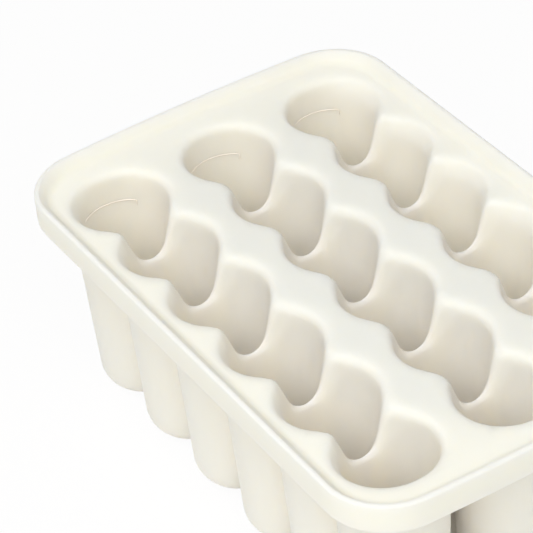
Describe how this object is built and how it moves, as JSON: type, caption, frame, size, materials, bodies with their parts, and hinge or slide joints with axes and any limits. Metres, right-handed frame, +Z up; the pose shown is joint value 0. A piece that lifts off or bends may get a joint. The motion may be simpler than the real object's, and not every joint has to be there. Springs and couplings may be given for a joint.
{
  "type": "baby food freezer tray",
  "caption": "Moulded silicone freezer tray with rows of deep round cups that open into each other under a recessed deck and raised rim.",
  "frame": {"origin": "middle of the tray in plan, on the surface that its cups stand on", "axes": "+X along the rows of six cups, +Y across the three rows, +Z up out of the mouths"},
  "size_m": [0.1628, 0.1048, 0.0623],
  "materials": {
    "silicone": "soft satin, slightly translucent ivory silicone"
  },
  "bodies": {
    "root": {"cup_r1_c1": "silicone", "cup_r1_c2": "silicone", "cup_r1_c3": "silicone", "cup_r1_c4": "silicone", "cup_r1_c5": "silicone", "cup_r1_c6": "silicone", "cup_r2_c1": "silicone", "cup_r2_c2": "silicone", "cup_r2_c3": "silicone", "cup_r2_c4": "silicone", "cup_r2_c5": "silicone", "cup_r2_c6": "silicone", "cup_r3_c1": "silicone", "cup_r3_c2": "silicone", "cup_r3_c3": "silicone", "cup_r3_c4": "silicone", "cup_r3_c5": "silicone", "cup_r3_c6": "silicone", "deck_row_1": "silicone", "deck_row_2": "silicone", "deck_row_3": "silicone", "rim": "silicone"}
  },
  "joints": []
}
